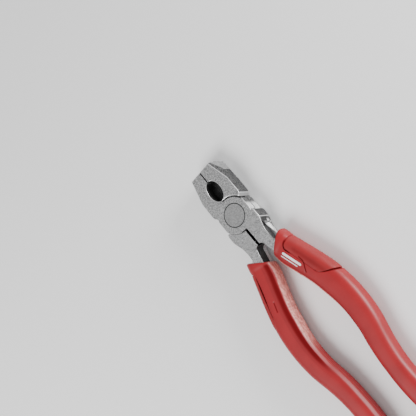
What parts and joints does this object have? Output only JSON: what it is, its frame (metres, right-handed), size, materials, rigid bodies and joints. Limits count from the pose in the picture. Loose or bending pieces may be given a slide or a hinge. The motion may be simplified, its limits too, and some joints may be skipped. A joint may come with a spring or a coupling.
{
  "type": "lineman pliers",
  "caption": "Lineman pliers: two lapped forged halves on a flush rivet, side cutters behind the gripping nose, two-part moulded hand grips.",
  "frame": {"origin": "on the pivot axis, on the ground back face of the head", "axes": "+Y from the pivot to the nose, +Z along the pivot axis out of the face with the oval pocket, +X to the jaw of the rear half"},
  "size_m": [0.0688, 0.2385, 0.0156],
  "materials": {
    "forged_steel": "ground and blasted forging",
    "rivet_steel": "ground flush",
    "liner_plastic": "moulded",
    "grip_plastic": "satin moulded",
    "panel_rubber": "soft satin"
  },
  "bodies": {
    "front_body": {"front_half": "forged_steel", "pivot_rivet": "rivet_steel", "right_grip_liner": "liner_plastic", "right_grip_sleeve": "grip_plastic", "right_palm_panel": "panel_rubber"},
    "rear_body": {"rear_half": "forged_steel", "left_grip_liner": "liner_plastic", "left_grip_sleeve": "grip_plastic", "left_palm_panel": "panel_rubber"}
  },
  "joints": [
    {"name": "pivot", "type": "hinge", "parent": "front_body", "child": "rear_body", "pos_m": [0, 0, 0.0066], "axis": [0, 0, -1], "range_deg": [0, 45]}
  ]
}
